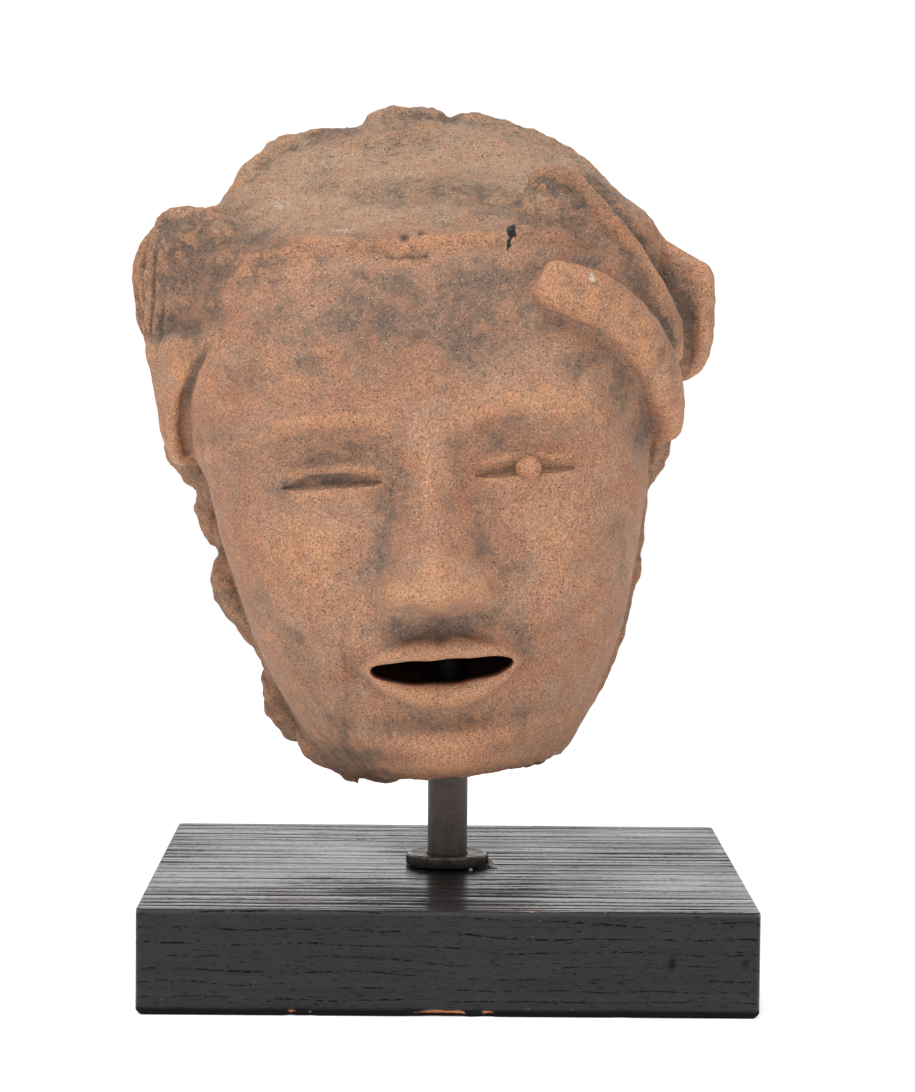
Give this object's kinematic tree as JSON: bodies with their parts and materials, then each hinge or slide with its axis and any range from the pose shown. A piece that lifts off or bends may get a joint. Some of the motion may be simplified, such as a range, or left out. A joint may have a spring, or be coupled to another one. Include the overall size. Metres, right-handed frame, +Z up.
{
  "type": "pottery head on a post and block",
  "caption": "Hollow fired clay head with a folded headdress and a calm face, held up by a turned metal post in a black wood block.",
  "frame": {"origin": "centre of the wood block's underside", "axes": "+Z up, -Y the way the face looks, +X to the right of someone who faces it"},
  "size_m": [0.1924, 0.1739, 0.2738],
  "materials": {
    "fired_clay": "matt worn terracotta with soot-grey patches, dark temper specks and faintly waxy raised places",
    "post_metal": "brown-grey patinated metal with fine turning marks",
    "collar_metal": "blackened metal, worn bright on the rim",
    "black_wood": "satin black stain over open grain, worn to orange-brown wood along the arrises"
  },
  "bodies": {
    "root": {"pottery_head": "fired_clay", "mount_post": "post_metal", "knurled_collar": "collar_metal", "wood_base": "black_wood"}
  },
  "joints": []
}
